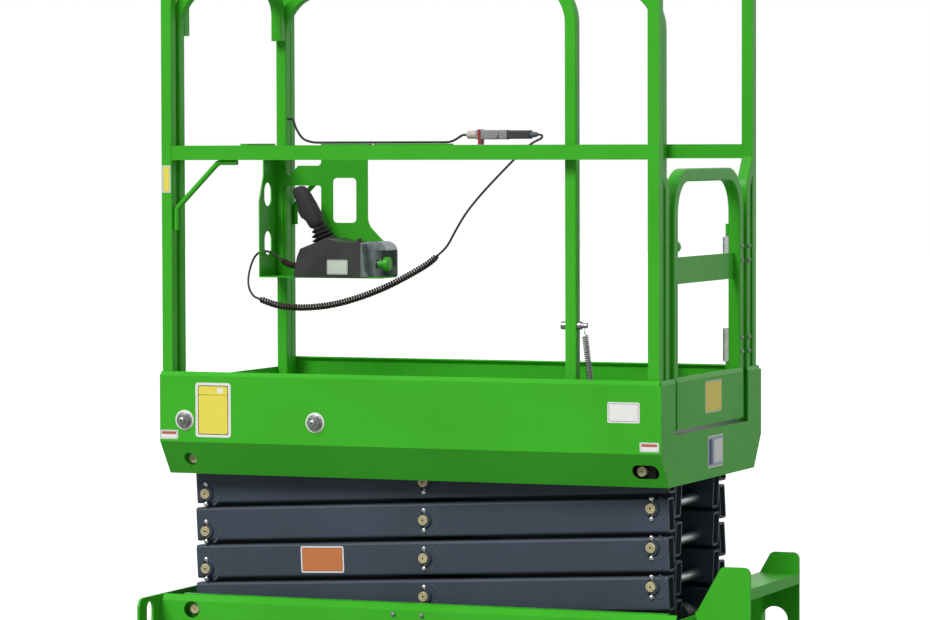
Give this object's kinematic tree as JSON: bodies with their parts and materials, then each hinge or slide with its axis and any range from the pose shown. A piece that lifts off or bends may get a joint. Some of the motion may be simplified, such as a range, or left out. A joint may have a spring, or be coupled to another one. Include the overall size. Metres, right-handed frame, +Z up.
{
  "type": "scissor lift",
  "caption": "Slim electric scissor lift with a guard-railed platform, roll-out deck extension, folded scissor stack, arched entry gate and rear step.",
  "frame": {"origin": "on the floor, under the centre of the bounding box", "axes": "+X towards the entry gate and step end, +Y towards the far side with the control box, +Z up"},
  "size_m": [1.345, 0.844, 1.8613],
  "materials": {
    "arm_grey": "satin powder coat, dark slate grey",
    "battery": "moulded black",
    "black_plastic": "fine grain black",
    "chrome": "ground and chromed",
    "cord_black": "black cable sheath",
    "deck": "dark grey tread plate",
    "green": "gloss powder coat, bright green",
    "grey_plastic": "fine grain dark grey",
    "nylon": "black nylon",
    "rim_grey": "satin dark grey",
    "steel": "plain bright steel",
    "tie_red": "dark red nylon band",
    "tyre": "solid rubber, non marking tread",
    "zinc": "yellow passivated zinc"
  },
  "bodies": {
    "chassis": {"chassis_tray": "green", "end_plate": "green", "rear_step": "green", "chassis_guides": "green", "power_pack": "battery", "front_axle": "rim_grey", "rear_axle": "rim_grey"},
    "platform": {"platform_frame": "green", "platform_guides": "green", "main_deck": "deck", "guard_rails": "green", "gate_hinges": "green"},
    "gate": {"gate_frame": "green", "gate_latch": "steel"},
    "extension": {"ext_deck": "green", "ext_rails": "green", "control_bracket": "green", "control_box": "grey_plastic", "joystick": "black_plastic", "cord_gland": "black_plastic", "cord_lead": "cord_black", "cord_coil": "cord_black", "cord_coil_2": "cord_black", "cord_tail": "cord_black", "cord_plug": "black_plastic", "rail_socket": "grey_plastic", "rail_tie": "tie_red", "rail_wire": "cord_black", "ext_lock": "steel", "lock_spring": "steel"},
    "outer_1": {"arm_outer_1": "arm_grey", "pins_1": "zinc"},
    "inner_1": {"arm_inner_1": "arm_grey", "shaft_lower": "zinc"},
    "outer_2": {"arm_outer_2": "arm_grey", "pins_2": "zinc"},
    "inner_2": {"arm_inner_2": "arm_grey"},
    "outer_3": {"arm_outer_3": "arm_grey", "pins_3": "zinc"},
    "inner_3": {"arm_inner_3": "arm_grey"},
    "outer_4": {"arm_outer_4": "arm_grey", "pins_4": "zinc"},
    "inner_4": {"arm_inner_4": "arm_grey", "shaft_upper": "zinc"},
    "slide_low": {"slide_lower": "nylon"},
    "slide_high": {"slide_upper": "nylon"},
    "barrel": {"lift_barrel": "rim_grey"},
    "rod": {"lift_rod": "chrome"},
    "steer_near": {"knuckle_near": "rim_grey"},
    "wheel_front_near": {"tyre_front_near": "tyre", "rim_front_near": "rim_grey"},
    "wheel_rear_near": {"tyre_rear_near": "tyre", "rim_rear_near": "rim_grey"},
    "steer_far": {"knuckle_far": "rim_grey"},
    "wheel_front_far": {"tyre_front_far": "tyre", "rim_front_far": "rim_grey"},
    "wheel_rear_far": {"tyre_rear_far": "tyre", "rim_rear_far": "rim_grey"},
    "steer_link": {"tie_rod": "rim_grey"}
  },
  "joints": [
    {"name": "lift", "type": "hinge", "parent": "chassis", "child": "outer_1", "pos_m": [-0.5905, -0.045, 0.35], "axis": [0, -1, 0], "range_deg": [0, 50.4]},
    {"name": "cross_1", "type": "hinge", "parent": "outer_1", "child": "inner_1", "pos_m": [-0.06067, -0.045, 0.39216], "axis": [0, -1, 0], "range_deg": [-100.82, 0]},
    {"name": "knee_1", "type": "hinge", "parent": "inner_1", "child": "outer_2", "pos_m": [-0.5905, -0.045, 0.43433], "axis": [0, -1, 0], "range_deg": [0, 100.82]},
    {"name": "cross_2", "type": "hinge", "parent": "outer_2", "child": "inner_2", "pos_m": [-0.06067, -0.045, 0.47649], "axis": [0, -1, 0], "range_deg": [-100.82, 0]},
    {"name": "knee_2", "type": "hinge", "parent": "inner_2", "child": "outer_3", "pos_m": [-0.5905, -0.045, 0.51865], "axis": [0, -1, 0], "range_deg": [0, 100.82]},
    {"name": "cross_3", "type": "hinge", "parent": "outer_3", "child": "inner_3", "pos_m": [-0.06067, -0.045, 0.56082], "axis": [0, -1, 0], "range_deg": [-100.82, 0]},
    {"name": "knee_3", "type": "hinge", "parent": "inner_3", "child": "outer_4", "pos_m": [-0.5905, -0.045, 0.60298], "axis": [0, -1, 0], "range_deg": [0, 100.82]},
    {"name": "cross_4", "type": "hinge", "parent": "outer_4", "child": "inner_4", "pos_m": [-0.06067, -0.045, 0.64514], "axis": [0, -1, 0], "range_deg": [-100.82, 0]},
    {"name": "platform_level", "type": "hinge", "parent": "inner_4", "child": "platform", "pos_m": [-0.5905, -0.045, 0.68731], "axis": [0, -1, 0], "range_deg": [0, 50.41]},
    {"name": "slide_low_level", "type": "hinge", "parent": "inner_1", "child": "slide_low", "pos_m": [0.46915, -0.045, 0.35], "axis": [0, -1, 0], "range_deg": [0, 50.41]},
    {"name": "slide_high_level", "type": "hinge", "parent": "outer_4", "child": "slide_high", "pos_m": [0.46915, -0.045, 0.68731], "axis": [0, -1, 0], "range_deg": [-50.41, 0]},
    {"name": "cylinder_swing", "type": "hinge", "parent": "inner_1", "child": "barrel", "pos_m": [0.46915, -0.045, 0.35], "axis": [0, -1, 0], "range_deg": [-11.24, 0]},
    {"name": "cylinder_stroke", "type": "slide", "parent": "barrel", "child": "rod", "axis": [-0.9876, 0, 0.1572], "range_m": [0, 0.7719]},
    {"name": "steer", "type": "hinge", "parent": "chassis", "child": "steer_near", "pos_m": [-0.4815, -0.262, 0.115], "axis": [0, 0, 1], "range_deg": [-40, 40]},
    {"name": "steer_other", "type": "hinge", "parent": "chassis", "child": "steer_far", "pos_m": [-0.4815, 0.262, 0.115], "axis": [0, 0, 1], "range_deg": [-40.01, 40.01]},
    {"name": "steer_rod", "type": "hinge", "parent": "steer_near", "child": "steer_link", "pos_m": [-0.4195, -0.262, 0.115], "axis": [0, 0, 1], "range_deg": [-40.01, 40.01]},
    {"name": "spin_front_near", "type": "hinge", "parent": "steer_near", "child": "wheel_front_near", "pos_m": [-0.4815, -0.367, 0.115], "axis": [0, 1, 0], "continuous": true},
    {"name": "spin_rear_near", "type": "hinge", "parent": "chassis", "child": "wheel_rear_near", "pos_m": [0.4235, -0.367, 0.115], "axis": [0, 1, 0], "continuous": true},
    {"name": "spin_front_far", "type": "hinge", "parent": "steer_far", "child": "wheel_front_far", "pos_m": [-0.4815, 0.367, 0.115], "axis": [0, 1, 0], "continuous": true},
    {"name": "spin_rear_far", "type": "hinge", "parent": "chassis", "child": "wheel_rear_far", "pos_m": [0.4235, 0.367, 0.115], "axis": [0, 1, 0], "continuous": true},
    {"name": "extension_slide", "type": "slide", "parent": "platform", "child": "extension", "axis": [-1, 0, 0], "range_m": [0, 0.6]},
    {"name": "gate_swing", "type": "hinge", "parent": "platform", "child": "gate", "pos_m": [0.4835, 0.252, 1.06131], "axis": [0, 0, -1], "range_deg": [0, 90]}
  ],
  "couplings": [
    {"joint": "cross_1", "follows": "lift", "ratio": -2},
    {"joint": "knee_1", "follows": "lift", "ratio": 2},
    {"joint": "cross_2", "follows": "lift", "ratio": -2},
    {"joint": "knee_2", "follows": "lift", "ratio": 2},
    {"joint": "cross_3", "follows": "lift", "ratio": -2},
    {"joint": "knee_3", "follows": "lift", "ratio": 2},
    {"joint": "cross_4", "follows": "lift", "ratio": -2},
    {"joint": "platform_level", "follows": "lift", "ratio": 1},
    {"joint": "slide_low_level", "follows": "lift", "ratio": 1},
    {"joint": "slide_high_level", "follows": "lift", "ratio": -1},
    {"joint": "cylinder_swing", "follows": "lift", "ratio": -0.22278},
    {"joint": "cylinder_stroke", "follows": "lift", "m_per_rad": 0.87697},
    {"joint": "steer_other", "follows": "steer", "ratio": 1},
    {"joint": "steer_rod", "follows": "steer", "ratio": -1}
  ]
}
